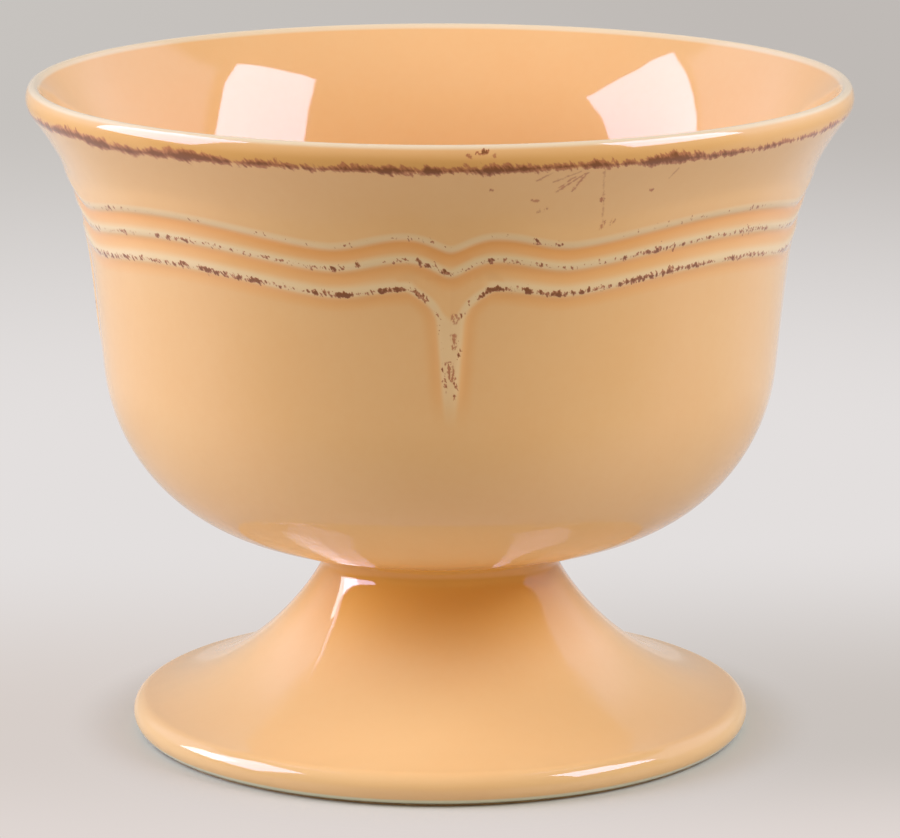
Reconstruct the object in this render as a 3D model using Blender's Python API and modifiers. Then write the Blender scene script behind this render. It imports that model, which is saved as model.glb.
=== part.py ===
"""Footed dessert bowl: a stoneware bowl luted to a hollow pedestal foot, with its coats of glaze.

Every outline lies in the XZ plane at +X and is turned about Z. Sizes are those of the glazed, visible
surface; the clay lies one coat and one fit gap below it.
"""

from math import cos, hypot, radians, sin

import bpy

MM = 0.001
SEGMENTS = 48
MERGE_DISTANCE = 0.01 * MM

# Bowl, as seen
RIM_RADIUS = 70.0 * MM
BOWL_HEIGHT = 78.4 * MM
BELLY_RADIUS = 57.6 * MM
BELLY_HEIGHT = 32.7 * MM
BELLY_TURN = 84.5
RIM_FLARE = 37.6
SIDE_PULL = 21.0 * MM
RIM_PULL = 16.3 * MM
BOWL_WALL = 3.6 * MM
LIP_EDGE = 0.15 * MM
LIP_TURN = 30.0

# Foot, as seen
FOOT_HEIGHT = 34.1 * MM
FOOT_RADIUS = 53.3 * MM
NECK_RADIUS = 20.1 * MM
NECK_FILLET = 4.5 * MM
NECK_PULL = 4.5 * MM
EDGE_PULL = 15.9 * MM
EDGE_SLOPE = 8.8
EDGE_ROUND = 2.45 * MM
EDGE_LIFT = 0.35 * MM
EDGE_UNDERCUT = 57.0
FOOT_WALL = 4.2 * MM
NECK_END_WALL = 6.0 * MM
CEILING_FLAT = 8.0 * MM
CEILING_PULL = 8.5 * MM
RING_INSET = 1.9 * MM
RING_WIDTH = 4.2 * MM
RING_MARGIN = 1.7 * MM

# Coats and joint
GLAZE = 0.5 * MM
FIT_GAP = 0.3 * MM
SLIP = 1.2 * MM
SLIP_SKIRT = 1.0 * MM
COVER = GLAZE + FIT_GAP

# Steps along each curve
BELLY_STEPS = 7
SIDE_STEPS = 5
CREST_STEPS = 4
ROLL_STEPS = 5
FILLET_STEPS = 3
FLARE_STEPS = 6
EDGE_STEPS = 4
CEILING_STEPS = 3

# Finishes: colour and roughness
BOWL_CLAY = ((0.72, 0.55, 0.40), 0.85)
FOOT_CLAY = ((0.70, 0.53, 0.38), 0.85)
SLIP_CLAY = ((0.66, 0.50, 0.36), 0.90)
BOWL_PEACH = ((0.83, 0.46, 0.19), 0.18)
FOOT_PEACH = ((0.82, 0.47, 0.20), 0.18)
HOLLOW_AMBER = ((0.75, 0.42, 0.18), 0.18)


def oval(centre, half_width, half_height, start, end, steps):
    angles = [radians(start + (end - start) * i / steps) for i in range(steps + 1)]
    return [(centre[0] + half_width * cos(a), centre[1] + half_height * sin(a)) for a in angles]


def arc(centre, radius, start, end, steps):
    return oval(centre, radius, radius, start, end, steps)


def curve(p0, p1, p2, p3, steps):
    points = []
    for i in range(steps + 1):
        t = i / steps
        w = ((1 - t) ** 3, 3 * (1 - t) ** 2 * t, 3 * (1 - t) * t * t, t**3)
        points.append(tuple(sum(k * p[axis] for k, p in zip(w, (p0, p1, p2, p3))) for axis in (0, 1)))
    return points


def right_normal(a, b):
    length = hypot(b[0] - a[0], b[1] - a[1])
    return ((b[1] - a[1]) / length, (a[0] - b[0]) / length)


def inset(path, depth):
    """The path moved to the right of its run by depth, with mitred corners."""
    normals = [right_normal(a, b) for a, b in zip(path, path[1:])]
    moved = []
    for i, point in enumerate(path):
        before = normals[max(i - 1, 0)]
        after = normals[min(i, len(normals) - 1)]
        share = depth / (1 + before[0] * after[0] + before[1] * after[1])
        moved.append((point[0] + share * (before[0] + after[0]), point[1] + share * (before[1] + after[1])))
    return moved


def crossing(path, axis, limit):
    """The point where the path first passes the limit on one axis, and the index after it."""
    for i, (a, b) in enumerate(zip(path, path[1:])):
        if (a[axis] - limit) * (b[axis] - limit) <= 0 and a[axis] != b[axis]:
            t = (limit - a[axis]) / (b[axis] - a[axis])
            return (a[0] + t * (b[0] - a[0]), a[1] + t * (b[1] - a[1])), i + 1
    return path[-1], len(path)


def pad_radius():
    """Edge of the bowl's flat underside, clear of the neck's fillet and the seam round it."""
    return NECK_RADIUS + NECK_FILLET + 2 * FIT_GAP


def bowl_outside():
    """From the lip's outer foot down the flared side and the belly to the flat underside."""
    belly_width = BELLY_RADIUS - pad_radius()
    belly = oval((pad_radius(), BELLY_HEIGHT), belly_width, BELLY_HEIGHT, BELLY_TURN - 90, -90, BELLY_STEPS)
    top = belly[0]
    rim = lip()[-1]
    flare = radians(RIM_FLARE)
    rim_pull = (rim[0] - RIM_PULL * sin(flare), rim[1] - RIM_PULL * cos(flare))
    turn = radians(BELLY_TURN)
    rise = (belly_width * cos(turn), BELLY_HEIGHT * sin(turn))
    reach = SIDE_PULL / hypot(*rise)
    side_pull = (top[0] + reach * rise[0], top[1] + reach * rise[1])
    return curve(rim, rim_pull, side_pull, top, SIDE_STEPS)[:-1] + belly


def lip():
    """One wall thick at its foot: from inside over a tight crest, then down a fuller outer roll."""
    crest = COVER + LIP_EDGE
    spread = cos(radians(LIP_TURN + RIM_FLARE))
    roll = (BOWL_WALL - crest * (1 + spread)) / (1 - spread)
    turn = radians(LIP_TURN)
    apart = roll - crest
    crest_centre = (RIM_RADIUS - roll + apart * cos(turn), BOWL_HEIGHT - crest)
    roll_centre = (RIM_RADIUS - roll, crest_centre[1] - apart * sin(turn))
    inner = arc(crest_centre, crest, 180 - RIM_FLARE, LIP_TURN, CREST_STEPS)
    return inner[:-1] + arc(roll_centre, roll, LIP_TURN, -RIM_FLARE, ROLL_STEPS)


def bowl_surface():
    """The glazed surface from the middle of the bowl's floor, over the lip, to the flat underside."""
    outside = bowl_outside()
    inside = inset(outside + [(0.0, 0.0)], BOWL_WALL)[::-1]
    return inside[:-1] + lip() + outside[1:]


def foot_surface():
    """The glazed surface from under the bowl, down the neck and the flare, round the edge."""
    fillet_centre = (NECK_RADIUS + NECK_FILLET, FOOT_HEIGHT - NECK_FILLET)
    fillet = arc(fillet_centre, NECK_FILLET, 90, 180, FILLET_STEPS)
    edge_centre = (FOOT_RADIUS - EDGE_ROUND, EDGE_LIFT + EDGE_ROUND * sin(radians(EDGE_UNDERCUT)))
    edge = arc(edge_centre, EDGE_ROUND, 90 - EDGE_SLOPE, -EDGE_UNDERCUT, EDGE_STEPS)
    slope = radians(EDGE_SLOPE)
    edge_pull = (edge[0][0] - EDGE_PULL * cos(slope), edge[0][1] + EDGE_PULL * sin(slope))
    neck = fillet[-1]
    neck_pull = (neck[0], neck[1] - NECK_PULL)
    flare = curve(neck, neck_pull, edge_pull, edge[0], FLARE_STEPS)
    return fillet[:-1], flare, edge[1:]


def ring_radii():
    outer = FOOT_RADIUS - RING_INSET
    return outer - RING_WIDTH, outer


def joint_heights():
    """Top and bottom of the slip and top of the clay neck, above the table."""
    bowl_seat = FOOT_HEIGHT + COVER
    slip_top = bowl_seat - FIT_GAP
    slip_bottom = slip_top - SLIP
    return slip_top, slip_bottom, slip_bottom - FIT_GAP


def spigot_radius():
    return NECK_RADIUS - COVER - SLIP_SKIRT - FIT_GAP


def hollow_surface():
    """The glazed ceiling and side of the foot's hollow, from the middle out to the foot ring."""
    flare = foot_surface()[1]
    side = inset(flare, FOOT_WALL)
    ceiling = joint_heights()[2] - NECK_END_WALL - COVER
    start, after = crossing(side, 1, ceiling - FOOT_WALL)
    end, last = crossing(side, 0, ring_radii()[0] - RING_MARGIN)
    lean = right_normal(start, side[after])
    pull = (start[0] + lean[1] * FOOT_WALL, start[1] - lean[0] * FOOT_WALL)
    flat = (CEILING_FLAT, ceiling)
    flat_pull = (CEILING_FLAT + CEILING_PULL, ceiling)
    corner = curve(flat, flat_pull, pull, start, CEILING_STEPS)
    return [(0.0, ceiling)] + corner + side[after:last] + [end]


def bowl_outline():
    return inset(bowl_surface() + [(0.0, 0.0)], COVER)


def bowl_glaze_outline():
    seam = (NECK_RADIUS + NECK_FILLET + FIT_GAP, 0.0)
    face = bowl_surface() + [seam]
    return face + inset(face, GLAZE)[::-1]


def foot_glaze_outline():
    fillet, flare, edge = foot_surface()
    face = fillet + flare + edge
    return face + inset(face, GLAZE)[::-1]


def slip_outline():
    fillet, flare = foot_surface()[:2]
    clay = inset(fillet + flare, COVER)[: len(fillet) + 1]
    top, bottom = joint_heights()[:2]
    shoulder = FOOT_HEIGHT - NECK_FILLET
    start, after = crossing(clay, 1, top)
    end, last = crossing(clay, 1, shoulder + FIT_GAP)
    bore = spigot_radius() + FIT_GAP
    skirt = [start] + clay[after:last] + [end]
    return [(0.0, top)] + skirt + [(bore, end[1]), (bore, bottom), (0.0, bottom)]


def foot_outline():
    flare, edge = foot_surface()[1:]
    clay = inset(flare + edge, COVER)
    ring_in, ring_out = ring_radii()
    top = joint_heights()[2]
    spigot = spigot_radius()
    neck = [(0.0, top), (spigot, top), (spigot, clay[0][1])]
    under = (clay[-1][1] + EDGE_LIFT) / 2
    ring = [(ring_out, under), (ring_out, 0.0), (ring_in, 0.0)]
    hollow = inset(hollow_surface()[::-1], COVER)
    return neck + clay + ring + hollow


def underside_outline():
    face = hollow_surface()[::-1]
    return inset(face, GLAZE)[::-1] + face


def material(name, finish):
    colour, roughness = finish
    made = bpy.data.materials.new(name)
    made.use_nodes = True
    shader = made.node_tree.nodes["Principled BSDF"]
    shader.inputs["Base Color"].default_value = (*colour, 1.0)
    shader.inputs["Roughness"].default_value = roughness
    shader.inputs["Metallic"].default_value = 0.0
    return made


def turned(name, outline, surface, parent, collection):
    """One solid of revolution; an outline that doesn't start on the axis is a closed ring."""
    closed = outline[0][0] > 0.0
    count = len(outline)
    edges = [(i, i + 1) for i in range(count - 1)]
    if closed:
        edges.append((count - 1, 0))
    mesh = bpy.data.meshes.new(name)
    mesh.from_pydata([(r, 0.0, z) for r, z in outline], edges, [])
    mesh.materials.append(surface)
    piece = bpy.data.objects.new(name, mesh)
    screw = piece.modifiers.new("turn", "SCREW")
    screw.axis = "Z"
    screw.steps = SEGMENTS
    screw.render_steps = SEGMENTS
    screw.use_merge_vertices = True
    screw.merge_threshold = MERGE_DISTANCE
    screw.use_smooth_shade = True
    piece.parent = parent
    collection.objects.link(piece)
    return piece


def group(name, height, collection):
    empty = bpy.data.objects.new(name, None)
    empty.location = (0.0, 0.0, height)
    empty.empty_display_size = 0.01
    collection.objects.link(empty)
    return empty


def clear_scene():
    for item in list(bpy.data.objects):
        bpy.data.objects.remove(item)


def main():
    clear_scene()
    collection = bpy.data.collections.new("footed_dessert_bowl")
    bpy.context.scene.collection.children.link(collection)
    base = group("foot_group", 0.0, collection)
    raised = group("bowl_group", FOOT_HEIGHT, collection)
    raised.parent = base
    pieces = (
        ("bowl", bowl_outline, BOWL_CLAY, raised),
        ("pedestal_foot", foot_outline, FOOT_CLAY, base),
        ("luting_slip", slip_outline, SLIP_CLAY, base),
        ("bowl_glaze", bowl_glaze_outline, BOWL_PEACH, raised),
        ("foot_glaze", foot_glaze_outline, FOOT_PEACH, base),
        ("underside_glaze", underside_outline, HOLLOW_AMBER, base),
    )
    for name, outline, finish, parent in pieces:
        turned(name, outline(), material(name + "_finish", finish), parent, collection)


main()
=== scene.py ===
"""Looks of the footed dessert bowl: fine glaze skins with their moulded swags, the studio and the camera.

Shapes are worked out in millimetres and made in metres. An angle round the bowl is in degrees, 0 at the front
(-Y) and growing towards +X. A profile is a list of (radius, height) points that runs from the middle of the
bowl's floor over the lip and down, or from the neck down to the table, with the clay on the right of its run.

A pair of limits says where a smooth rise from 0 to 1 starts and ends; it is a fall where the first is larger.
A noise is its scale, its detail and, where it isn't plain, its roughness. A grain is the scale of a noise's
height on the wall and its lean. A heap of brown is its angle, half its spread and its strength.
"""

from math import cos, hypot, pi, radians, sin, tan

import bpy
import numpy as np
from mathutils import Matrix, Vector


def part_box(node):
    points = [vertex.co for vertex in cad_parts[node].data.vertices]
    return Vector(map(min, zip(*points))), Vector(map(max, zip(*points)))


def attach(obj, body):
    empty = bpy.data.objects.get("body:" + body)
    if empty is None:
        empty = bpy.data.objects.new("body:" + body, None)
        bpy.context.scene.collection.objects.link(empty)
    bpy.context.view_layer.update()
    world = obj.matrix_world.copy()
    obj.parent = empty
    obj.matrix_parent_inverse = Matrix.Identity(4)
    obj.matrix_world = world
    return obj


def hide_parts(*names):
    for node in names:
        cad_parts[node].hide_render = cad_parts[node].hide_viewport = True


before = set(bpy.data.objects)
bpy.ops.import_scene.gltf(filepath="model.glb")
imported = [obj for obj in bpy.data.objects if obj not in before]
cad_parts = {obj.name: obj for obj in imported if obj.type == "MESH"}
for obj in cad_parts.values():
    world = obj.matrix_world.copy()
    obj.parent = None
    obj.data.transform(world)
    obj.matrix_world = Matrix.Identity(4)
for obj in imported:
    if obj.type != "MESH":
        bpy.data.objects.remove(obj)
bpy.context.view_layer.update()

MM = 0.001

# Sizes taken from the frame, in millimetres
BOWL_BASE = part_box("bowl_glaze")[0][2] / MM
RIM_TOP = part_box("bowl_glaze")[1][2] / MM
RIM_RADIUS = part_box("bowl_glaze")[1][0] / MM
FOOT_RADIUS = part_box("foot_glaze")[1][0] / MM

# Bowl profile, as in the CAD model
BELLY_RADIUS = 57.6
BELLY_HEIGHT = 32.7
BELLY_TURN = 84.5
RIM_FLARE = 37.6
SIDE_PULL = 21.0
RIM_PULL = 16.3
BOWL_WALL = 3.6
LIP_CREST = 0.95
LIP_TURN = 30.0

# Foot profile, as in the CAD model but for a finer turn under the bowl, a leaning neck and a fuller edge
NECK_RADIUS = 20.1
NECK_FILLET = 4.5
NECK_WAIST = 20.15
NECK_TURN = 3.9
NECK_LEAN = 16.0
NECK_PULL = 3.8
EDGE_PULL = 17.8
EDGE_SLOPE = 8.8
EDGE_ROUND = 2.8
EDGE_LIFT = 0.45
EDGE_UNDERCUT = 57.0

# Thickness of the skins, and the gap where the bowl's meets the foot's
BOWL_SKIN = 0.4
FOOT_SKIN = 0.2
SEAM_GAP = 0.3

# Moulded swags: three stepped lines, four times round the bowl, the lowest running down into a drop.
# Each line has its height at four angles, the width and strength of its cream crest, the strength of the
# amber pool under it, how far it is worn, and the heaps where the brown lies heavy on the front
REPEATS = 4
HUMP_ANGLE = 6.5
DIP_ANGLE = 18.3
ARCH_ANGLE = 180.0 / REPEATS
CUSP = 0.16
RISE_POWER = 0.75
SWAGS = (
    {"valley": 94.1, "hump": 96.9, "dip": 94.8, "arch": 97.5, "cream": 1.0, "tint": 0.75, "pool": 1.0,
     "wear": 0.5, "heavy": ((-57.5, 3.0, 1.0), (12.4, 0.8, 1.0), (16.1, 0.7, 1.0))},
    {"valley": 89.8, "hump": 92.9, "dip": 91.0, "arch": 93.4, "cream": 1.35, "tint": 1.0, "pool": 0.8,
     "wear": 0.72, "heavy": ((-47.0, 6.0, 0.8), (-32.0, 0.8, 1.0), (-17.6, 0.7, 1.0), (-2.1, 2.0, 0.2),
                             (1.5, 1.5, 0.4), (5.0, 2.5, 0.4), (10.2, 0.8, 1.0), (30.0, 3.0, 0.5),
                             (43.6, 1.5, 1.0), (56.3, 2.0, 1.0))},
    {"valley": 83.5, "hump": 88.0, "dip": 86.6, "arch": 88.95, "cream": 1.9, "tint": 1.0, "pool": 0.65,
     "wear": 0.86, "heavy": ((-42.0, 8.0, 0.7), (-30.0, 1.5, 1.0), (-17.0, 1.8, 1.4), (-9.3, 2.4, 1.7),
                             (3.1, 1.0, 0.5), (6.9, 2.2, 1.8), (12.0, 1.3, 0.9), (16.8, 1.0, 0.9),
                             (24.6, 2.0, 0.5), (32.0, 3.0, 0.5), (41.0, 3.5, 0.6))},
)
MARKS = ("crest", "pool", "wear")
HEAVY_WEAR = 0.3

# Lift and marks of a moulded line, by the distance above it
SWAG_LIFT = 0.36
STEP_FACE = (-1.5, 0.5)
STEP_BACK = (0.2, 4.0)
CREST_EDGE = (-0.65, -0.05)
CREST_CORE = 0.4
POOL_START = (-3.3, -1.3)
POOL_END = (-0.9, -0.4)
WEAR_MIDDLE = 0.05
WEAR_SPREAD = 0.8

# The drop, by height
DROP_TIP = 65.5
DROP_TOP = 88.0
DROP_SHOULDER = 81.5
DROP_TIP_WIDTH = 0.45
DROP_GROWTH = 0.075
DROP_FLARE = 4.6
DROP_FLARE_POWER = 2.7
DROP_FLARE_END = 1.2
DROP_BLEND = (-0.5, 0.5)
DROP_FADE = (64.0, 72.0)
DROP_CREAM = 1.2
DROP_FILL = 3.0
DROP_FILL_FALL = (84.5, 81.0)
DROP_TINT = 0.7

# Brown line under the lip: its distance from the lip's crest, how thickly it lies there and how fast
# that falls off, what changes it, and how much thinner it is at the right of the bowl
STAIN_RUN = 4.5
STAIN_DEPTH = 1.4
STAIN_FALL = -1.6
STAIN_REACH = (4.0, 2.5)
STAIN_LOADS = ((-52.0, 6.0, 0.25), (-25.0, 2.0, -0.3), (20.3, 1.8, 0.7), (24.5, 1.3, -0.9),
               (28.5, 2.6, 0.9), (52.0, 10.0, -0.1))
LOAD_NOISE = (0.06, 2.0)
LOAD_SHARE = 0.3
WANDER_NOISE = (0.05, 1.0)
WANDER_SHARE = 0.25
HAIR_GRAIN = (0.45, 0.7)
HAIR_NOISE = (1.3, 3.0, 0.65)
HAIR_SHARE = 0.5
BLOT_NOISE = (0.35, 3.0, 0.6)
BLOT_SHARE = 0.45
STAIN_RIGHT = (0.5, 0.95)
STAIN_RIGHT_LOSS = 0.6

# Brown dabs on the moulded lines
DAB_GRAIN = (0.7, 0.3)
DAB_NOISE = (1.0, 2.0, 0.65)
DOT_GRAIN = (0.8, 0.3)
DOT_NOISE = (2.2, 1.0)
DOT_SHARE = 0.5
CLUSTER_GRAIN = (0.4, 0.0)
CLUSTER_NOISE = (0.13, 2.0)
CLUSTER_SHARE = 0.6
WEAR_GAIN = 3.8
WEAR_START = -3.0
WEAR_FADE = (0.0, 0.1)

# Single brown streaks and broken spots, with (angle, distance from the lip's crest) at both ends
STROKE_RADIUS = 66.0
STROKE_BLUR = 0.25
STROKE_CORE = 0.15
STROKE_NOISE = (1.6, 2.0)
STROKE_UNEVEN = 0.12
BREAK_GRAIN = (0.6, 0.0)
BREAK_NOISE = (2.0, 2.0)
BREAK_LIMITS = (-0.8, 0.4)
STREAKS = (
    {"path": ((17.8, 6.1), (14.3, 9.8)), "half": 0.10, "depth": 0.36},
    {"path": ((18.0, 6.0), (16.6, 9.8)), "half": 0.12, "depth": 0.4},
    {"path": ((16.5, 6.6), (14.6, 8.9)), "half": 0.08, "depth": 0.36},
    {"path": ((17.0, 5.6), (13.6, 7.6)), "half": 0.08, "depth": 0.3},
    {"path": ((13.2, 5.6), (11.2, 7.2)), "half": 0.10, "depth": 0.3},
    {"path": ((20.4, 6.0), (22.5, 16.7)), "half": 0.06, "depth": 0.25},
    {"path": ((31.9, 6.4), (31.2, 8.6)), "half": 0.08, "depth": 0.25},
)
SPOTS = (
    {"path": ((12.3, 13.9), (13.4, 13.1)), "half": 0.25, "depth": 0.4},
    {"path": ((11.2, 11.4), (11.9, 11.5)), "half": 0.20, "depth": 0.4},
    {"path": ((21.4, 11.8), (21.6, 12.3)), "half": 0.28, "depth": 0.8},
    {"path": ((22.3, 16.7), (22.8, 16.0)), "half": 0.25, "depth": 0.4},
    {"path": ((23.7, 16.2), (24.1, 16.0)), "half": 0.25, "depth": 0.4},
    {"path": ((5.2, 8.9), (5.4, 8.9)), "half": 0.22, "depth": 0.8},
    {"path": ((28.8, 10.9), (29.0, 10.9)), "half": 0.22, "depth": 0.7},
    {"path": ((2.1, 2.1), (2.3, 2.1)), "half": 0.25, "depth": 0.9},
    {"path": ((3.3, 1.7), (3.5, 1.7)), "half": 0.25, "depth": 1.1},
    {"path": ((4.0, 1.6), (4.4, 1.3)), "half": 0.35, "depth": 1.6},
    {"path": ((5.3, 2.3), (5.5, 2.2)), "half": 0.20, "depth": 0.4},
    {"path": ((0.5, 29.6), (0.9, 30.6)), "half": 0.50, "depth": 0.4},
    {"path": ((0.4, 33.2), (0.6, 35.3)), "half": 0.40, "depth": 0.55},
    {"path": ((-0.2, 38.6), (0.3, 41.0)), "half": 0.60, "depth": 0.7},
)

# Glaze: its uneven surface and gloss, and how its tone drifts
SWELL_NOISE = (0.11, 1.0)
SWELL_DEPTH = 0.06 * MM
PIT_NOISE = (1.1, 2.0)
PIT_SHARE = 0.008
PIT_ROUGHNESS = 0.04
GLAZE_ROUGHNESS = 0.03
GLAZE_IOR = 1.65
GLAZE_SPECULAR = (0.85, 0.77, 1.0, 1.0)
DRIFT_NOISE = (0.035, 2.0)
DRIFT_LIMITS = (0.35, 0.7)
DRIFT_SHARE = 0.3
MOTTLE_NOISE = (0.6, 3.0)
MOTTLE_LIMITS = (0.3, 0.75)
MOTTLE_SHARE = 0.16
HOLLOW_NOISE = (0.08, 3.0)
HOLLOW_LIMITS = (0.3, 0.7)

# Coats of colour on the bowl: gold and cream by the distance from the lip's crest, browns by their depth
POOL_SHARE = 0.75
GOLD_START = (0.8, 3.4)
GOLD_END = (5.0, 4.2)
GOLD_SHARE = 0.65
GOLD_RIGHT = (0.1, 0.8)
GOLD_RIGHT_LOSS = 0.25
CREST_SHARE = 0.85
LIP_BAND = (-1.0, 0.7, 0.7)
LIP_SHARE = 0.85
UMBER_DEPTH = (-0.1, 0.5)
UMBER_SHARE = 0.85
BROWN_DEPTH = (0.4, 1.5)
BROWN_SHARE = 0.93

# Coats of colour on the foot and its dull band, by the distance up from the end of its edge
FLARE_PALE = (36.0, 22.0)
FLARE_SHARE = 0.35
# Painted shade: the deeper orange up at the neck, where the bowl above shades it
NECK_SHADE_RISE = (30.0, 47.0)
NECK_SHADE_SHARE = 0.9
EDGE_BARE = (1.4, 0.9)
EDGE_SHARE = 0.9
DULL_BAND = (12.0, 26.0, 6.0)
DULL_ROUGHNESS = 0.06

# Bare clay
GRIT_NOISE = (2.4, 4.0, 0.65)
GRIT_LIMITS = (0.35, 0.65)
GRIT_DEPTH = 0.08 * MM
CLAY_ROUGHNESS = 0.85
BOWL_SHADE = 0.86
FOOT_SHADE = 0.8
SLIP_SHADE = 0.72

# Mesh steps and spacings
PROFILE_STEPS = 200
CREST_STEPS = 10
ROLL_STEPS = 12
FILLET_STEPS = 14
FLARE_STEPS = 96
EDGE_STEPS = 20
SECTOR_COLUMNS = 112
COLUMN_CROWDING = 0.3
FOOT_COLUMNS = 480
SWAG_ROWS = (1.5, 1.0, 0.6, 0.3, 0.0, -0.3, -0.6, -1.0, -1.5, -2.1)
RELIEF_TOP = 101.0
RELIEF_FOOT = 63.0
SPACES_ABOVE = 4
SPACES_BETWEEN = 2
SPACES_BELOW = 24
INSIDE_SPACING = 2.6
FLARE_SPACING = 1.0
BELLY_SPACING = 2.2
BACK_SPACING = 5.0
FOOT_BACK_STEP = 6

# Distances painted on the unseen backs of the skins: far inside the lip, and up at the neck
BOWL_BACK_RUN = -20.0
FOOT_BACK_RUN = 50.0

# Camera, fitted to the photograph
CAMERA_PLACE = (1.7 * MM, -824.6 * MM, 236.4 * MM)
CAMERA_TURN = -1.7
CAMERA_PITCH = 12.5
CAMERA_LENS = 196.56
CAMERA_SENSOR = 36.0
CAMERA_CLIP = 50.0

# Floor, its size in metres. Light falls on it near the bowl; further out the camera and the gloss see it
# in set tones, by the distance in millimetres from the middle, to the right of it or behind it
FLOOR_SIZE = 16.0
FLOOR_ROUGHNESS = 0.9
FLOOR_SPECULAR = 0.1
FLOOR_LIT = (50.5, 66.0)
FLOOR_FADE = (230.0, 700.0)
# Painted shade on the floor round the bowl: darker at the right, warmer in front
NEAR_SHADE_ACROSS = (-60.0, 60.0)
NEAR_SHADE_BACK = (-80.0, -15.0)
SWEEP_BACK = (0.0, 130.0)
SHADE_ACROSS = (-160.0, 160.0)
SHADE_FAR = (3000.0, 1200.0)
# What the gloss sees: painted shade on the floor in front, and the bowl's painted shadow on the floor behind
# it
MIRROR_FRONT = (-160.0, -10.0)
MIRROR_SHADE_BACK = (20.0, 80.0)
MIRROR_SHADE_FAR = (260.0, 150.0)

# Room, by how far a direction points to the rear or up
REAR_SIDES = (0.92, 0.7)
REAR_RISE = (0.0, 0.35)
WALL_SKEW = 0.13
WALL_LIMITS = (0.07, 0.16)
CEILING_HALVES = (-0.1, 0.1)
CEILING_LIMITS = (0.66, 0.72)

# Lights, in metres: each softbox hangs by the middle of its top edge, rise degrees above a level near the
# rim. The foot light covers a lower corner of the left softbox and reaches past it; it shows in the foot's
# gloss alone
SOFTBOX_LEVEL = 0.1
SOFTBOX_DISTANCE = 0.65
RIGHT_HANG = {"azimuth": 68.8, "rise": 50.1, "facing": 71.7, "tilt": 0.0, "roll": 0.0}
LEFT_HANG = {"azimuth": -79.7, "rise": 46.0, "facing": -101.9, "tilt": 20.0, "roll": -2.3}
RIGHT_LAMP = (0.9, 0.93, 1.06)
LEFT_LAMP = (0.88, 0.925, 1.13)
FOOT_LAMP = (0.9, 1.05, 1.0)
SOFTBOXES = (
    {"name": "softbox_right", "hang": RIGHT_HANG, "width": 0.44, "height": 0.55, "glow": 7.9,
     "tint": RIGHT_LAMP},
    {"name": "softbox_left", "hang": LEFT_HANG, "width": 0.565, "height": 0.6, "glow": 6.75,
     "tint": LEFT_LAMP},
)
FOOT_LIGHT = {"name": "foot_light", "hang": LEFT_HANG, "width": 0.3, "height": 0.31, "glow": 6.5,
              "tint": FOOT_LAMP, "shift": -0.2045, "drop": 0.33, "ahead": 0.01}


def srgb(red, green, blue):
    """A colour written as on a screen, 0 to 255, as linear light."""
    def linear(value):
        share = value / 255
        return share / 12.92 if share <= 0.04045 else ((share + 0.055) / 1.055) ** 2.4
    return (linear(red), linear(green), linear(blue), 1.0)


PEACH = srgb(241, 197, 138)
PEACH_DEEP = srgb(239, 188, 126)
CREAM = srgb(241, 218, 172)
LIP_CREAM = srgb(240, 227, 195)
AMBER = srgb(242, 170, 92)
GOLD = srgb(225, 168, 82)
FOOT_PEACH = srgb(229, 196, 141)
# Painted shade for the foot's neck, under the bowl
NECK_SHADE_ORANGE = srgb(246, 182, 80)
BROWN = srgb(135, 85, 50)
UMBER = srgb(190, 120, 84)
MINT = srgb(225, 231, 207)
CLAY = srgb(214, 186, 150)
FLOOR = srgb(203, 203, 195)
SWEEP = srgb(227, 223, 222)
# Painted shade on the floor round the bowl
NEAR_SHADE_FRONT = srgb(224, 215, 211)
NEAR_SHADE_LEFT = srgb(215, 206, 201)
NEAR_SHADE_RIGHT = srgb(202, 195, 190)
# Painted shade: the floor in front as the gloss sees it
FRONT_FLOOR_SHADE = srgb(100, 94, 88)
BACKDROP = srgb(199, 195, 191)
BACKDROP_SHADE = srgb(191, 186, 182)
FRONT_ROOM = srgb(172, 146, 103)
REAR_ROOM = srgb(190, 187, 185)
SIDE_WALLS = (0.85, 0.98, 1.15, 1.0)
CEILING_FRONT = srgb(182, 161, 134)
CEILING_REAR = srgb(100, 99, 98)


def smooth(low, high, value):
    """0 below low and 1 above high, with a smooth rise between; falls where low is above high."""
    t = np.clip((value - low) / (high - low), 0.0, 1.0)
    return t * t * (3 - 2 * t)


def oval(centre, half_width, half_height, start, end, steps):
    turn = np.radians(np.linspace(start, end, steps + 1))
    across = centre[0] + half_width * np.cos(turn)
    up = centre[1] + half_height * np.sin(turn)
    return np.column_stack((across, up))


def arc(centre, radius, start, end, steps):
    return oval(centre, radius, radius, start, end, steps)


def curve(p0, p1, p2, p3, steps):
    t = np.linspace(0.0, 1.0, steps + 1)[:, None]
    points = [np.asarray(p) for p in (p0, p1, p2, p3)]
    weights = ((1 - t) ** 3, 3 * (1 - t) ** 2 * t, 3 * (1 - t) * t * t, t**3)
    return sum(w * p for w, p in zip(weights, points))


def normals(path):
    """Unit normals on the left of the path's run, which is the glazed side."""
    run = np.gradient(path, axis=0)
    run /= np.linalg.norm(run, axis=1)[:, None]
    return np.column_stack((-run[:, 1], run[:, 0]))


def length_along(path):
    steps = np.linalg.norm(np.diff(path, axis=0), axis=1)
    return np.concatenate(([0.0], np.cumsum(steps)))


def resampled(path, spacing):
    along = length_along(path)
    count = max(int(round(along[-1] / spacing)), 1)
    places = np.linspace(0.0, along[-1], count + 1)
    return np.column_stack([np.interp(places, along, path[:, axis]) for axis in (0, 1)])


def pad_radius():
    """Radius of the bowl's flat underside."""
    return NECK_RADIUS + NECK_FILLET + 2 * SEAM_GAP


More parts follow.
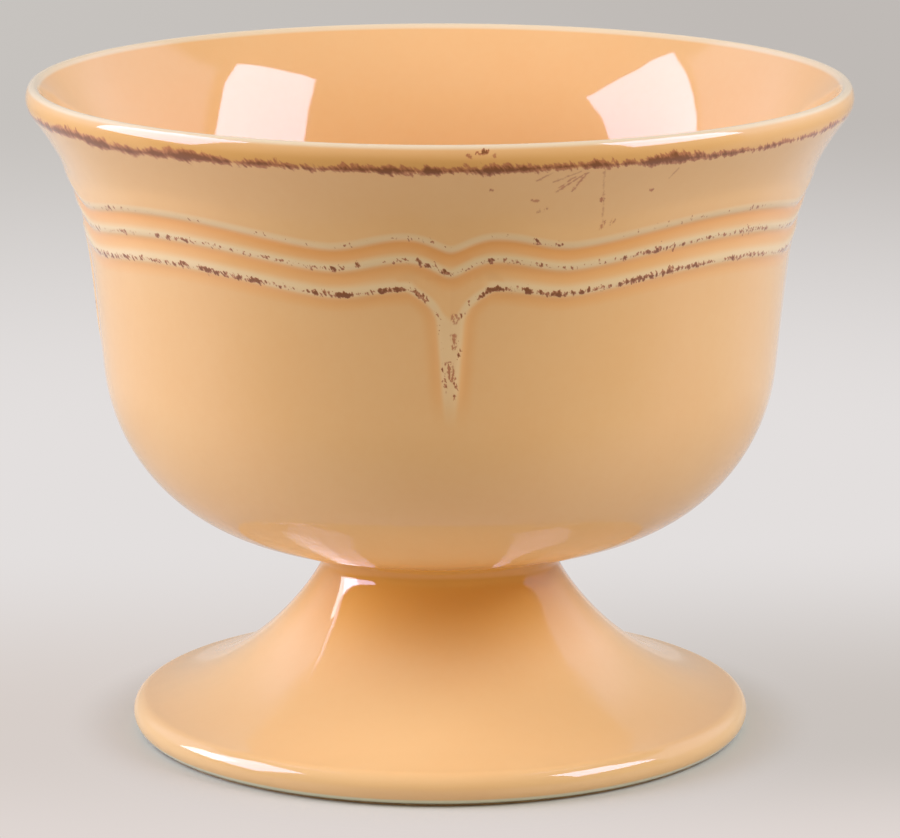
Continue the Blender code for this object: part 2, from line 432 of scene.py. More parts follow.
def lip():
    """From the lip's inner foot over a tight crest, then down a fuller outer roll."""
    spread = cos(radians(LIP_TURN + RIM_FLARE))
    roll = (BOWL_WALL - LIP_CREST * (1 + spread)) / (1 - spread)
    turn = radians(LIP_TURN)
    apart = roll - LIP_CREST
    crest_centre = (RIM_RADIUS - roll + apart * cos(turn), RIM_TOP - LIP_CREST)
    roll_centre = (RIM_RADIUS - roll, crest_centre[1] - apart * sin(turn))
    crest = arc(crest_centre, LIP_CREST, 180 - RIM_FLARE, LIP_TURN, CREST_STEPS)
    return np.vstack((crest[:-1], arc(roll_centre, roll, LIP_TURN, -RIM_FLARE, ROLL_STEPS)))


def bowl_belly():
    centre = (pad_radius(), BOWL_BASE + BELLY_HEIGHT)
    half_width = BELLY_RADIUS - pad_radius()
    return oval(centre, half_width, BELLY_HEIGHT, BELLY_TURN - 90, -90, PROFILE_STEPS)


def bowl_outside():
    """From the lip's outer foot down the flared side and the belly to the flat underside."""
    flare = radians(RIM_FLARE)
    rim = lip()[-1]
    rim_pull = (rim[0] - RIM_PULL * sin(flare), rim[1] - RIM_PULL * cos(flare))
    belly = bowl_belly()
    top = belly[0]
    turn = radians(BELLY_TURN)
    rise = ((BELLY_RADIUS - pad_radius()) * cos(turn), BELLY_HEIGHT * sin(turn))
    reach = SIDE_PULL / hypot(*rise)
    top_pull = (top[0] + reach * rise[0], top[1] + reach * rise[1])
    side = curve(rim, rim_pull, top_pull, top, PROFILE_STEPS)
    return np.vstack((side[:-1], belly))


def bowl_inside():
    """From the middle of the floor up to the lip's inner foot, one wall inside the outer side."""
    outside = bowl_outside()
    inside = outside - BOWL_WALL * normals(outside)
    floor = np.array([[0.0, BOWL_BASE + BOWL_WALL]])
    return np.vstack((inside, floor))[::-1]


def bowl_back():
    """The unseen back of the bowl's glaze, from the underside over the lip to the middle of the floor."""
    face = resampled(np.vstack((bowl_inside()[:-1], lip(), bowl_outside()[1:])), BACK_SPACING)
    back = (face - BOWL_SKIN * normals(face))[::-1]
    back[-1][0] = 0.0
    return back


def foot_face():
    """The glazed surface of the foot: under the bowl, the neck, the flare and the rounded edge."""
    seat = [(NECK_RADIUS + NECK_FILLET, BOWL_BASE)]
    fillet_centre = (NECK_WAIST + NECK_TURN, BOWL_BASE - NECK_TURN)
    fillet = arc(fillet_centre, NECK_TURN, 90, 180 + NECK_LEAN, FILLET_STEPS)
    edge_centre = (FOOT_RADIUS - EDGE_ROUND, EDGE_LIFT + EDGE_ROUND * sin(radians(EDGE_UNDERCUT)))
    edge = arc(edge_centre, EDGE_ROUND, 90 - EDGE_SLOPE, -EDGE_UNDERCUT, EDGE_STEPS)
    slope = radians(EDGE_SLOPE)
    edge_pull = (edge[0][0] - EDGE_PULL * cos(slope), edge[0][1] + EDGE_PULL * sin(slope))
    neck = fillet[-1]
    lean = radians(NECK_LEAN)
    neck_pull = (neck[0] + NECK_PULL * sin(lean), neck[1] - NECK_PULL * cos(lean))
    flare = curve(neck, neck_pull, edge_pull, edge[0], FLARE_STEPS)
    return np.vstack((seat, fillet[:-1], flare, edge[1:]))


def swag_height(angle, swag):
    """Height of one moulded line at an angle from the nearest drop."""
    out = np.abs(angle)
    t = np.clip(out / HUMP_ANGLE, 0.0, 1.0)
    cusp = np.sin(pi / 2 * np.sqrt((t * t + CUSP**2) / (1 + CUSP**2)))
    near = swag["valley"] + (swag["hump"] - swag["valley"]) * cusp
    t = np.clip((out - HUMP_ANGLE) / (DIP_ANGLE - HUMP_ANGLE), 0.0, 1.0)
    fall = swag["hump"] + (swag["dip"] - swag["hump"]) * (1 - np.cos(pi * t)) / 2
    t = np.clip((out - DIP_ANGLE) / (ARCH_ANGLE - DIP_ANGLE), 0.0, 1.0) ** RISE_POWER
    rise = swag["dip"] + (swag["arch"] - swag["dip"]) * (1 - np.cos(pi * t)) / 2
    return np.where(out < HUMP_ANGLE, near, np.where(out < DIP_ANGLE, fall, rise))


def swag_gap(angle, height, radius, swag):
    """Signed distance from a moulded line, positive above it."""
    nudge = 0.05
    climb = swag_height(angle + nudge, swag) - swag_height(angle - nudge, swag)
    slope = climb / (np.radians(2 * nudge) * radius)
    return (height - swag_height(angle, swag)) / np.sqrt(1 + slope**2)


def drop_half_width(height):
    """Half the drop's width: a slow taper, spread at the top into the lowest moulded line."""
    taper = DROP_TIP_WIDTH + DROP_GROWTH * np.clip(height - DROP_TIP, 0.0, None)
    shoulder = np.clip((height - DROP_SHOULDER) / (DROP_TOP - DROP_SHOULDER), 0.0, DROP_FLARE_END)
    return taper + DROP_FLARE * shoulder**DROP_FLARE_POWER


def drop_gap(angle, height, radius):
    """Signed distance from the drop's edge, positive inside it."""
    nudge = 0.1
    half = drop_half_width(height)
    slope = (drop_half_width(height + nudge) - half) / nudge
    return (half - np.abs(np.radians(angle)) * radius) / np.sqrt(1 + slope**2)


def heaped(angle, heaps):
    """How much heavier the brown lies at angles round the whole bowl."""
    around = (angle + 180) % 360 - 180
    return sum(strength * np.exp(-(((around - middle) / spread) ** 2))
               for middle, spread, strength in heaps)


def moulding(angle, local, height, radius):
    """Lift of the moulded lines and the drop over the plain wall, and the marks on them.

    angle is round the whole bowl and local is from the nearest drop.
    """
    lift = np.zeros_like(height)
    marks = {key: np.zeros_like(height) for key in MARKS}
    for swag in SWAGS:
        gap = swag_gap(local, height, radius, swag)
        cream = swag["cream"]
        body = tint = np.ones_like(gap)
        if swag is SWAGS[-1]:
            inside = drop_gap(local, height, radius)
            in_drop = smooth(*DROP_BLEND, inside - gap)
            gap = np.maximum(gap, inside)
            body = 1 - in_drop * (1 - smooth(*DROP_FADE, height))
            tint = body * (1 - in_drop * (1 - DROP_TINT) * smooth(DROP_TOP, DROP_SHOULDER, height))
            filled = DROP_CREAM + DROP_FILL * smooth(*DROP_FILL_FALL, height)
            cream = cream + (filled - cream) * in_drop
        step = smooth(*STEP_FACE, gap) * (1 - smooth(*STEP_BACK, gap))
        crest = swag["tint"] * smooth(*CREST_EDGE, gap) * (1 - smooth(CREST_CORE * cream, cream, gap))
        pool = swag["pool"] * smooth(*POOL_START, gap) * (1 - smooth(*POOL_END, gap))
        wear = swag["wear"] + HEAVY_WEAR * heaped(angle, swag["heavy"])
        wear = wear * np.exp(-(((gap - WEAR_MIDDLE) / WEAR_SPREAD) ** 2))
        lift = np.maximum(lift, SWAG_LIFT * step * body)
        for key, value in zip(MARKS, (crest, pool, wear)):
            marks[key] = np.maximum(marks[key], value * tint)
    return lift, marks


def column_angles():
    """Angles round the bowl, crowded at the four drops, and each one's angle from its nearest drop."""
    u = np.arange(SECTOR_COLUMNS) * 2 / SECTOR_COLUMNS - 1
    local = ARCH_ANGLE * (COLUMN_CROWDING * u + (1 - COLUMN_CROWDING) * u**3)
    turns = np.arange(REPEATS)[:, None] * 2 * ARCH_ANGLE
    return (turns + local).ravel(), np.tile(local, REPEATS)


def between(start, end, spaces):
    """Rows that part the way from start to end into equal spaces."""
    return [start + (end - start) * i / spaces for i in range(1, spaces)]


def relief_heights(local):
    """Heights of the rows that follow the moulded lines, one row of heights for each ring."""
    rows = []
    above = np.full_like(local, RELIEF_TOP)
    for swag in SWAGS:
        line = swag_height(local, swag)
        rows += between(above, line + SWAG_ROWS[0], SPACES_BETWEEN if rows else SPACES_ABOVE)
        rows += [line + offset for offset in SWAG_ROWS]
        above = rows[-1]
    return np.array(rows + between(above, RELIEF_FOOT, SPACES_BELOW))


def ring(radius, height, angles):
    """Points round the axis; radius and height are one number or one for each angle."""
    turn = np.radians(angles)
    flat = np.ones_like(turn)
    return np.column_stack((radius * np.sin(turn), -radius * np.cos(turn), height * flat)) * MM


def rings(path, angles):
    return [ring(r, z, angles if r > 0.0 else angles[:1]) for r, z in path]


def relief_rings(outside, angles, local):
    """Rings down the moulded side, and the marks on each."""
    level = outside[:, 1]
    facing = normals(outside)
    ring_list = []
    marks = {key: [] for key in MARKS}
    for heights in relief_heights(local):
        radius = np.interp(-heights, -level, outside[:, 0])
        lift, spots = moulding(angles, local, heights, radius)
        out = np.interp(-heights, -level, facing[:, 0])
        up = np.interp(-heights, -level, facing[:, 1])
        ring_list.append(ring(radius + lift * out, heights + lift * up, angles))
        for key in MARKS:
            marks[key].append(spots[key])
    return ring_list, marks


def ring_faces(first, first_size, second, second_size):
    """Faces between two rings of vertices, given where each starts; a ring of one vertex is a pole."""
    count = max(first_size, second_size)
    faces = []
    for j in range(count):
        k = (j + 1) % count
        if first_size == 1:
            faces.append((first, second + j, second + k))
        elif second_size == 1:
            faces.append((first + j, second, first + k))
        else:
            faces.append((first + j, second + j, second + k, first + k))
    return faces


def new_object(name, data):
    made = bpy.data.objects.new(name, data)
    bpy.context.scene.collection.objects.link(made)
    return made


def skin(name, ring_list, closed):
    """A smooth-shaded mesh through rings of points; closed joins the last ring to the first."""
    starts = np.cumsum([0] + [len(r) for r in ring_list])
    pairs = list(zip(range(len(ring_list)), range(1, len(ring_list))))
    if closed:
        pairs.append((len(ring_list) - 1, 0))
    faces = []
    for a, b in pairs:
        faces += ring_faces(int(starts[a]), len(ring_list[a]), int(starts[b]), len(ring_list[b]))
    mesh = bpy.data.meshes.new(name)
    mesh.from_pydata(np.vstack(ring_list).tolist(), [], faces)
    mesh.shade_smooth()
    return new_object(name, mesh)


def paint(piece, name, values):
    """Keeps a number at each of the piece's vertices, given ring by ring."""
    layer = piece.data.attributes.new(name, "FLOAT", "POINT")
    layer.data.foreach_set("value", np.concatenate(values).astype(np.float32))


def blank(ring_list):
    return [np.zeros(len(r)) for r in ring_list]


class Nodes:
    """Adds nodes to a shader tree and joins them; an input is a socket, a number or a colour."""

    NOISE_GAIN = 8.0

    def __init__(self, tree):
        self.tree = tree

    def feed(self, socket, value):
        if isinstance(value, bpy.types.NodeSocket):
            self.tree.links.new(value, socket)
        else:
            socket.default_value = value

    def add(self, kind, inputs=None, output=0, **settings):
        node = self.tree.nodes.new(kind)
        for name, value in settings.items():
            setattr(node, name, value)
        for name, value in (inputs or {}).items():
            self.feed(node.inputs[name], value)
        return node.outputs[output]

    def math(self, operation, *values):
        return self.add("ShaderNodeMath", dict(enumerate(values)), operation=operation)

    def product(self, first, *others):
        for other in others:
            first = self.math("MULTIPLY", first, other)
        return first

    def vector(self, operation, *values, output=0):
        return self.add("ShaderNodeVectorMath", dict(enumerate(values)), output, operation=operation)

    def dot(self, first, second):
        return self.vector("DOT_PRODUCT", first, second, output="Value")

    def scaled(self, vector, factor):
        return self.add("ShaderNodeVectorMath", {0: vector, "Scale": factor}, operation="SCALE")

    def split(self, vector):
        """The vector's three parts."""
        node = self.tree.nodes.new("ShaderNodeSeparateXYZ")
        self.feed(node.inputs[0], vector)
        return tuple(node.outputs)

    def smooth(self, low, high, value):
        inputs = {"Value": value, "From Min": low, "From Max": high}
        return self.add("ShaderNodeMapRange", inputs, interpolation_type="SMOOTHSTEP")

    def band(self, start, end, soft, value):
        """1 between start and end, with soft edges outside them."""
        rise = self.smooth(start - soft, start, value)
        return self.product(rise, self.smooth(end + soft, end, value))

    def mix(self, share, first, second):
        node = self.tree.nodes.new("ShaderNodeMix")
        node.data_type = "RGBA"
        sockets = {socket.identifier: socket for socket in node.inputs}
        self.feed(sockets["Factor_Float"], share)
        self.feed(sockets["A_Color"], first)
        self.feed(sockets["B_Color"], second)
        return {socket.identifier: socket for socket in node.outputs}["Result_Color"]

    def coat(self, under, colour, cover, share):
        """A colour laid over another where cover is 1, to a share of its full strength."""
        return self.mix(self.product(cover, share), under, colour)

    def noise(self, vector, scale, detail=2.0, roughness=0.5):
        inputs = {"Vector": vector, "Scale": scale, "Detail": detail, "Roughness": roughness}
        return self.add("ShaderNodeTexNoise", inputs, "Fac")

    def spread_noise(self, vector, scale, detail=2.0, roughness=0.5):
        """Noise about 0, mostly between -1 and 1."""
        noise = self.noise(vector, scale, detail, roughness)
        return self.math("MULTIPLY_ADD", noise, self.NOISE_GAIN, -self.NOISE_GAIN / 2)

    def bump(self, depth, height):
        return self.add("ShaderNodeBump", {"Strength": 1.0, "Distance": depth, "Height": height})

    def attribute(self, name):
        return self.add("ShaderNodeAttribute", output="Fac", attribute_name=name)

    def place(self):
        """Position on the piece, in millimetres."""
        return self.scaled(self.add("ShaderNodeTexCoord", output="Object"), 1 / MM)

    def streaked(self, place, radius, stretch, lean=0.0):
        """The place moved out to one radius, its height scaled, so that noise runs up the wall or leans."""
        flat = self.vector("MULTIPLY", place, (1.0, 1.0, 0.0))
        around = self.scaled(self.vector("NORMALIZE", flat), radius)
        turn = self.dot(place, (0.0, 0.0, lean / radius))
        inputs = {"Vector": around, "Angle": turn}
        around = self.add("ShaderNodeVectorRotate", inputs, rotation_type="Z_AXIS")
        rise = self.vector("MULTIPLY", place, (0.0, 0.0, stretch))
        return self.vector("ADD", around, rise)


def new_material(name):
    made = bpy.data.materials.new(name)
    made.use_nodes = True
    return made, Nodes(made.node_tree), made.node_tree.nodes["Principled BSDF"]


def dress(piece, made):
    piece.data.materials.clear()
    piece.data.materials.append(made)


def glaze_shader(nodes, shader, colour, place, dull=0.0):
    """A glossy fired glaze with a faint swell left by the firing; dull is extra roughness."""
    swell = nodes.noise(place, *SWELL_NOISE)
    pits = nodes.noise(place, *PIT_NOISE)
    height = nodes.math("MULTIPLY_ADD", pits, PIT_SHARE, swell)
    rough = nodes.math("MULTIPLY_ADD", pits, PIT_ROUGHNESS, GLAZE_ROUGHNESS)
    nodes.feed(shader.inputs["Base Color"], colour)
    nodes.feed(shader.inputs["Normal"], nodes.bump(SWELL_DEPTH, height))
    nodes.feed(shader.inputs["Roughness"], nodes.math("ADD", rough, dull))
    shader.inputs["IOR"].default_value = GLAZE_IOR
    shader.inputs["Specular Tint"].default_value = GLAZE_SPECULAR


def glaze_tone(nodes, place):
    """Peach that drifts a little towards a deeper orange, with a fine mottle."""
    drift = nodes.smooth(*DRIFT_LIMITS, nodes.noise(place, *DRIFT_NOISE))
    mottle = nodes.smooth(*MOTTLE_LIMITS, nodes.noise(place, *MOTTLE_NOISE))
    share = nodes.math("ADD", nodes.product(drift, DRIFT_SHARE), nodes.product(mottle, MOTTLE_SHARE))
    return nodes.mix(share, PEACH, PEACH_DEEP)


def side_of(nodes, place):
    """How far to the right a place lies, from -1 to 1 at the rim."""
    return nodes.dot(place, (1 / RIM_RADIUS, 0.0, 0.0))


def gold_cover(nodes, place, lip_run):
    """How far the glaze turns to gold under the lip, less so at the right."""
    cover = nodes.product(nodes.smooth(*GOLD_START, lip_run), nodes.smooth(*GOLD_END, lip_run))
    right = nodes.smooth(*GOLD_RIGHT, side_of(nodes, place))
    return nodes.product(cover, nodes.math("MULTIPLY_ADD", right, -GOLD_RIGHT_LOSS, GOLD_SHARE))


def rim_stain(nodes, place, lip_run):
    """How thickly the brown line under the lip lies, with ragged hairs that lean."""
    around = nodes.streaked(place, RIM_RADIUS, 0.0)
    hairs = nodes.spread_noise(nodes.streaked(place, RIM_RADIUS, *HAIR_GRAIN), *HAIR_NOISE)
    blots = nodes.spread_noise(place, *BLOT_NOISE)
    load = nodes.spread_noise(around, *LOAD_NOISE)
    load = nodes.math("MULTIPLY_ADD", load, LOAD_SHARE, nodes.attribute("stain_load"))
    wander = nodes.spread_noise(around, *WANDER_NOISE)
    middle = nodes.math("MULTIPLY_ADD", wander, WANDER_SHARE, STAIN_RUN)
    off = nodes.math("ABSOLUTE", nodes.math("SUBTRACT", lip_run, middle))
    depth = nodes.math("MULTIPLY_ADD", off, STAIN_FALL, STAIN_DEPTH)
    for noise, share in ((hairs, HAIR_SHARE), (blots, BLOT_SHARE)):
        depth = nodes.math("MULTIPLY_ADD", noise, share, depth)
    depth = nodes.math("ADD", load, depth)
    right = nodes.smooth(*STAIN_RIGHT, side_of(nodes, place))
    depth = nodes.math("SUBTRACT", depth, nodes.product(right, STAIN_RIGHT_LOSS))
    return nodes.product(depth, nodes.smooth(*STAIN_REACH, off))


def line_stain(nodes, place, wear):
    """How thickly brown lies in broken dabs along the moulded lines."""
    dabs = nodes.spread_noise(nodes.streaked(place, RIM_RADIUS, *DAB_GRAIN), *DAB_NOISE)
    dots = nodes.spread_noise(nodes.streaked(place, RIM_RADIUS, *DOT_GRAIN), *DOT_NOISE)
    clusters = nodes.spread_noise(nodes.streaked(place, RIM_RADIUS, *CLUSTER_GRAIN), *CLUSTER_NOISE)
    depth = nodes.math("MULTIPLY_ADD", dots, DOT_SHARE, dabs)
    depth = nodes.math("MULTIPLY_ADD", clusters, CLUSTER_SHARE, depth)
    depth = nodes.math("ADD", depth, nodes.math("MULTIPLY_ADD", wear, WEAR_GAIN, WEAR_START))
    return nodes.product(depth, nodes.smooth(*WEAR_FADE, wear))


def stroke_stain(nodes, place, lip_run):
    """How thickly brown lies in the single streaks and in the broken spots."""
    x, y, _ = nodes.split(place)
    turn = nodes.math("ARCTAN2", x, nodes.math("MULTIPLY", y, -1.0))
    spot = nodes.add("ShaderNodeCombineXYZ", {"X": nodes.product(turn, STROKE_RADIUS), "Y": lip_run})
    uneven = nodes.product(nodes.spread_noise(place, *STROKE_NOISE), STROKE_UNEVEN)
    broken = nodes.spread_noise(nodes.streaked(place, STROKE_RADIUS, *BREAK_GRAIN), *BREAK_NOISE)
    streaks = brushed(nodes, spot, uneven, STREAKS)
    spots = nodes.product(brushed(nodes, spot, uneven, SPOTS), nodes.smooth(*BREAK_LIMITS, broken))
    return nodes.math("MAXIMUM", streaks, spots)


def brushed(nodes, spot, uneven, strokes):
    """How thickly colour lies at a spot from strokes that each run straight between two ends."""
    total = 0.0
    for stroke in strokes:
        start, end = (Vector((radians(angle) * STROKE_RADIUS, run, 0.0)) for angle, run in stroke["path"])
        along = end - start
        from_start = nodes.vector("SUBTRACT", spot, start)
        share = nodes.dot(from_start, along / along.length_squared)
        share = nodes.add("ShaderNodeClamp", {"Value": share})
        off = nodes.vector("DISTANCE", from_start, nodes.scaled(along, share), output="Value")
        off = nodes.math("ADD", off, uneven)
        cover = nodes.smooth(stroke["half"] + STROKE_BLUR, stroke["half"] - STROKE_CORE, off)
        total = nodes.math("MAXIMUM", total, nodes.product(cover, stroke["depth"]))
    return total


def bowl_material():
    made, nodes, shader = new_material("bowl_glaze_look")
    place = nodes.place()
    lip_run = nodes.attribute("lip_run")
    tone = glaze_tone(nodes, place)
    tone = nodes.coat(tone, AMBER, nodes.attribute("pool"), POOL_SHARE)
    tone = nodes.mix(gold_cover(nodes, place, lip_run), tone, GOLD)
    tone = nodes.coat(tone, CREAM, nodes.attribute("crest"), CREST_SHARE)
    tone = nodes.coat(tone, LIP_CREAM, nodes.band(*LIP_BAND, lip_run), LIP_SHARE)
    depth = line_stain(nodes, place, nodes.attribute("wear"))
    for other in (rim_stain(nodes, place, lip_run), stroke_stain(nodes, place, lip_run)):
        depth = nodes.math("MAXIMUM", depth, other)
    tone = nodes.coat(tone, UMBER, nodes.smooth(*UMBER_DEPTH, depth), UMBER_SHARE)
    tone = nodes.coat(tone, BROWN, nodes.smooth(*BROWN_DEPTH, depth), BROWN_SHARE)
    glaze_shader(nodes, shader, tone, place)
    return made


def foot_material():
    made, nodes, shader = new_material("foot_glaze_look")
    place = nodes.place()
    edge_run = nodes.attribute("edge_run")
    tone = glaze_tone(nodes, place)
    tone = nodes.coat(tone, FOOT_PEACH, nodes.smooth(*FLARE_PALE, edge_run), FLARE_SHARE)
    # Painted shade: a deeper orange up the neck, under the bowl
    tone = nodes.coat(tone, NECK_SHADE_ORANGE, nodes.smooth(*NECK_SHADE_RISE, edge_run), NECK_SHADE_SHARE)
    tone = nodes.coat(tone, MINT, nodes.smooth(*EDGE_BARE, edge_run), EDGE_SHARE)
    dull = nodes.product(nodes.band(*DULL_BAND, edge_run), DULL_ROUGHNESS)
    glaze_shader(nodes, shader, tone, place, dull)
    return made


def hollow_material():
    """The glaze in the hollow under the foot."""
    made, nodes, shader = new_material("underside_glaze_look")
    place = nodes.place()
    tone = nodes.mix(nodes.smooth(*HOLLOW_LIMITS, nodes.noise(place, *HOLLOW_NOISE)), PEACH, AMBER)
    glaze_shader(nodes, shader, tone, place)
    return made


def clay_material(name, shade):
    """Unglazed fired stoneware: matt, gritty and speckled."""
    made, nodes, shader = new_material(name)
    grit = nodes.noise(nodes.place(), *GRIT_NOISE)
    darker = tuple(c * shade for c in CLAY[:3]) + (1.0,)
    nodes.feed(shader.inputs["Base Color"], nodes.mix(nodes.smooth(*GRIT_LIMITS, grit), darker, CLAY))
    nodes.feed(shader.inputs["Normal"], nodes.bump(GRIT_DEPTH, grit))
    shader.inputs["Roughness"].default_value = CLAY_ROUGHNESS
    return made


def make_bowl_glaze():
    angles, local = column_angles()
    inside = resampled(bowl_inside(), INSIDE_SPACING)[:-1]
    outside = bowl_outside()
    level = outside[:, 1]
    flare = resampled(outside[level >= RELIEF_TOP], FLARE_SPACING)[1:]
    seam = [(pad_radius() - SEAM_GAP, BOWL_BASE)]
    belly = resampled(np.vstack((outside[level <= RELIEF_FOOT], seam)), BELLY_SPACING)
    back = bowl_back()
    top = rings(np.vstack((inside, lip(), flare)), angles)
    side, marks = relief_rings(outside, angles, local)
    rest = rings(np.vstack((belly, back)), angles)
    ring_list = top + side + rest
    piece = skin("bowl_glaze_skin", ring_list, closed=False)
    for key, values in marks.items():
        paint(piece, key, blank(top) + values + blank(rest))
    paint(piece, "stain_load", [heaped(angles[:len(r)], STAIN_LOADS) for r in ring_list])
    paint(piece, "lip_run", lip_runs(ring_list, len(inside), len(back)))
    dress(piece, bowl_material())
    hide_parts("bowl_glaze")
    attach(piece, "root")


def lip_runs(ring_list, lip_start, back_rings):
    """Each ring's distance along the glaze from the lip's crest, negative inside the bowl."""
    middle = [np.array((np.hypot(r[:, 0], r[:, 1]).mean(), r[:, 2].mean())) / MM for r in ring_list]
    along = length_along(np.array(middle))
    to_crest = radians(90 - RIM_FLARE) * LIP_CREST
    along -= along[lip_start] + to_crest
    along[len(along) - back_rings:] = BOWL_BACK_RUN
    return [np.full(len(r), run) for r, run in zip(ring_list, along)]


def make_foot_glaze():
    angles = np.arange(FOOT_COLUMNS) * 360 / FOOT_COLUMNS
    face = foot_face()
    back = (face - FOOT_SKIN * normals(face))[::-FOOT_BACK_STEP]
    ring_list = rings(np.vstack((face, back)), angles)
    piece = skin("foot_glaze_skin", ring_list, closed=True)
    run = length_along(face)
    edge = np.concatenate((run[-1] - run, np.full(len(back), FOOT_BACK_RUN)))
    paint(piece, "edge_run", [np.full(len(r), e) for r, e in zip(ring_list, edge)])
    dress(piece, foot_material())
    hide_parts("foot_glaze")
    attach(piece, "root")
    return piece


def dress_frame():
    """Better materials for the CAD nodes that still show."""
    looks = {
        "bowl": clay_material("bowl_clay_look", BOWL_SHADE),
        "pedestal_foot": clay_material("foot_clay_look", FOOT_SHADE),
        "luting_slip": clay_material("slip_clay_look", SLIP_SHADE),
        "underside_glaze": hollow_material(),
    }
    for name, look in looks.items():
        dress(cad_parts[name], look)


def floor_tone(nodes, place, far, glossy):
    """The floor's set tones: pale with painted shade round the bowl, the backdrop's grey far off, and others
    for the gloss.
    """
    across = nodes.dot(place, (1.0, 0.0, 0.0))
    back = nodes.dot(place, (0.0, 1.0, 0.0))
    shade = nodes.product(nodes.smooth(*SHADE_ACROSS, across), nodes.smooth(*SHADE_FAR, far))
    backdrop = nodes.mix(shade, BACKDROP, BACKDROP_SHADE)
    # Painted shade round the bowl: darker at the right, warmer in front
    near = nodes.mix(nodes.smooth(*NEAR_SHADE_ACROSS, across), NEAR_SHADE_LEFT, NEAR_SHADE_RIGHT)
    near = nodes.mix(nodes.smooth(*NEAR_SHADE_BACK, back), NEAR_SHADE_FRONT, near)
    near = nodes.mix(nodes.smooth(*SWEEP_BACK, back), near, SWEEP)
    seen = nodes.mix(nodes.smooth(*FLOOR_FADE, far), near, backdrop)
    # In the gloss: painted shade on the floor in front, and the bowl's painted shadow just behind it
    mirrored = nodes.mix(nodes.smooth(*MIRROR_FRONT, back), FRONT_FLOOR_SHADE, seen)
    behind = nodes.product(nodes.smooth(*MIRROR_SHADE_BACK, back), nodes.smooth(*MIRROR_SHADE_FAR, far))
    mirrored = nodes.mix(behind, mirrored, NEAR_SHADE_LEFT)
    return nodes.mix(glossy, seen, mirrored)


def floor_material():
    """Takes light and shadow near the bowl; further out, the camera and the gloss see its set tones, painted
    shade among them.
    """
    made, nodes, shader = new_material("floor_look")
    shader.inputs["Base Color"].default_value = FLOOR
    shader.inputs["Roughness"].default_value = FLOOR_ROUGHNESS
    shader.inputs["Specular IOR Level"].default_value = FLOOR_SPECULAR
    place = nodes.place()
    far = nodes.vector("LENGTH", place, output="Value")
    path = nodes.tree.nodes.new("ShaderNodeLightPath")
    camera = path.outputs["Is Camera Ray"]
    glossy = path.outputs["Is Glossy Ray"]
    tone = floor_tone(nodes, place, far, glossy)
    glow = nodes.add("ShaderNodeEmission", {"Color": tone, "Strength": 1.0})
    share = nodes.product(nodes.math("MAXIMUM", camera, glossy), nodes.smooth(*FLOOR_LIT, far))
    blend = nodes.add("ShaderNodeMixShader", {0: share, 1: shader.outputs[0], 2: glow})
    nodes.feed(made.node_tree.nodes["Material Output"].inputs["Surface"], blend)
    return made


def make_floor():
    half = FLOOR_SIZE / 2
    corners = [(-half, -half, 0), (half, -half, 0), (half, half, 0), (-half, half, 0)]
    mesh = bpy.data.meshes.new("floor")
    mesh.from_pydata(corners, [], [(0, 1, 2, 3)])
    floor = new_object("floor", mesh)
    dress(floor, floor_material())


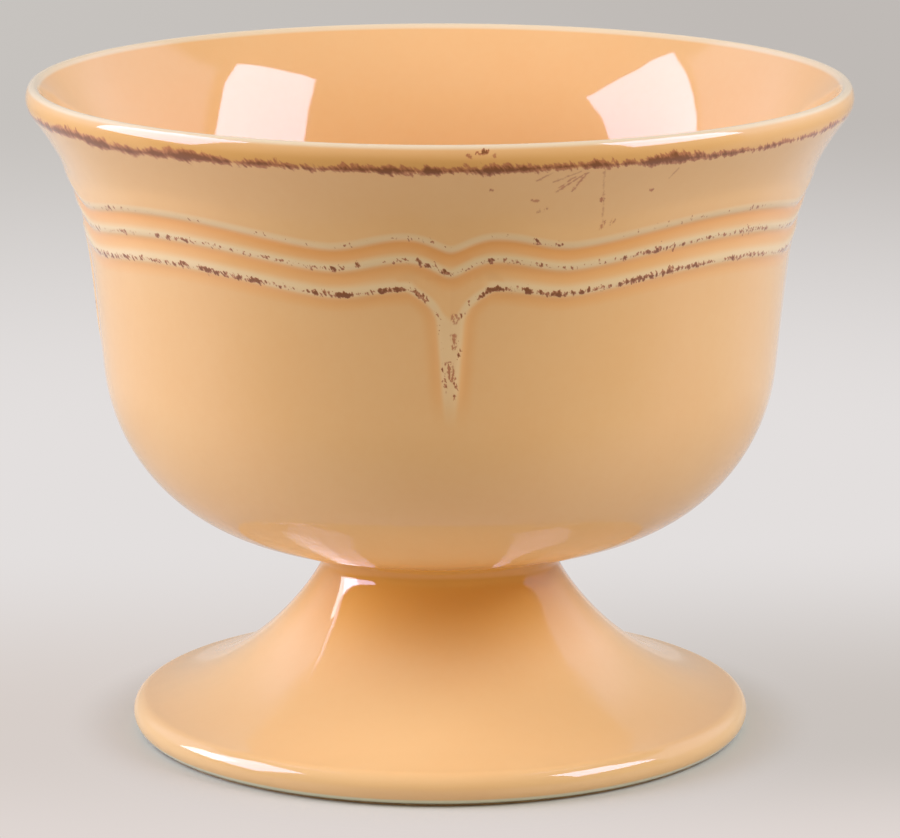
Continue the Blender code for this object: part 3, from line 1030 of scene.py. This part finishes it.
def make_world():
    """The room that lights the bowl and shows in its gloss; the camera sees a plain backdrop instead.

    The room is grey straight behind the bowl, with bright walls at the rear sides, dim and warm in front, and
    has a ceiling that is darker to the rear.
    """
    world = bpy.data.worlds.new("studio")
    bpy.context.scene.world = world
    world.use_nodes = True
    nodes = Nodes(world.node_tree)
    x, y, z = nodes.split(nodes.add("ShaderNodeTexCoord", output="Generated"))
    level = nodes.math("SQRT", nodes.math("SUBTRACT", 1.0, nodes.math("MULTIPLY", z, z)))
    behind = nodes.math("DIVIDE", y, level)
    lit = nodes.product(nodes.smooth(*REAR_SIDES, behind), nodes.smooth(*REAR_RISE, z))
    rear = nodes.mix(lit, REAR_ROOM, SIDE_WALLS)
    beside = nodes.math("MULTIPLY_ADD", nodes.math("DIVIDE", x, level), WALL_SKEW, behind)
    walls = nodes.mix(nodes.smooth(*WALL_LIMITS, beside), FRONT_ROOM, rear)
    ceiling = nodes.mix(nodes.smooth(*CEILING_HALVES, y), CEILING_FRONT, CEILING_REAR)
    room = nodes.mix(nodes.smooth(*CEILING_LIMITS, z), walls, ceiling)
    path = world.node_tree.nodes.new("ShaderNodeLightPath")
    colour = nodes.mix(path.outputs["Is Camera Ray"], room, BACKDROP)
    nodes.feed(world.node_tree.nodes["Background"].inputs["Color"], colour)


def hung(azimuth, rise, facing, tilt, roll):
    """Where the middle of a softbox's top edge is, and how the softbox is turned about it."""
    away = SOFTBOX_DISTANCE
    turn = radians(azimuth)
    top = Vector((away * sin(turn), -away * cos(turn), SOFTBOX_LEVEL + away * tan(radians(rise))))
    aim = Matrix.Rotation(radians(facing), 4, "Z")
    aim @= Matrix.Rotation(radians(90 - tilt), 4, "X")
    aim @= Matrix.Rotation(radians(roll), 4, "Z")
    return Matrix.Translation(top) @ aim


def make_softbox(name, hang, width, height, glow, tint, shift=0.0, drop=0.0, ahead=0.0):
    """A soft light hung by its top edge, or moved from there; it doesn't show itself to the camera."""
    light = bpy.data.lights.new(name, "AREA")
    light.shape = "RECTANGLE"
    light.size = width
    light.size_y = height
    light.energy = glow * pi * width * height
    light.color = tint
    lamp = new_object(name, light)
    lamp.matrix_world = hung(**hang) @ Matrix.Translation((shift, -drop - height / 2, -ahead))
    lamp.visible_camera = False
    return lamp


def shine_only(lamp, piece):
    """Lets a lamp show in one piece's gloss and nowhere else."""
    lit = bpy.data.collections.new(lamp.name + "_falls_on")
    lit.objects.link(piece)
    lamp.light_linking.receiver_collection = lit
    lamp.visible_diffuse = False


def make_camera():
    data = bpy.data.cameras.new("camera")
    data.lens = CAMERA_LENS
    data.sensor_width = CAMERA_SENSOR
    data.clip_end = CAMERA_CLIP
    camera = new_object("camera", data)
    turn = radians(CAMERA_TURN)
    x, y, z = CAMERA_PLACE
    camera.location = (x * cos(turn) - y * sin(turn), x * sin(turn) + y * cos(turn), z)
    camera.rotation_euler = (radians(90 - CAMERA_PITCH), 0.0, turn)
    bpy.context.scene.camera = camera


bpy.context.scene.view_settings.view_transform = "Standard"
make_camera()
make_bowl_glaze()
foot_skin = make_foot_glaze()
dress_frame()
make_floor()
make_world()
for softbox in SOFTBOXES:
    make_softbox(**softbox)
shine_only(make_softbox(**FOOT_LIGHT), foot_skin)
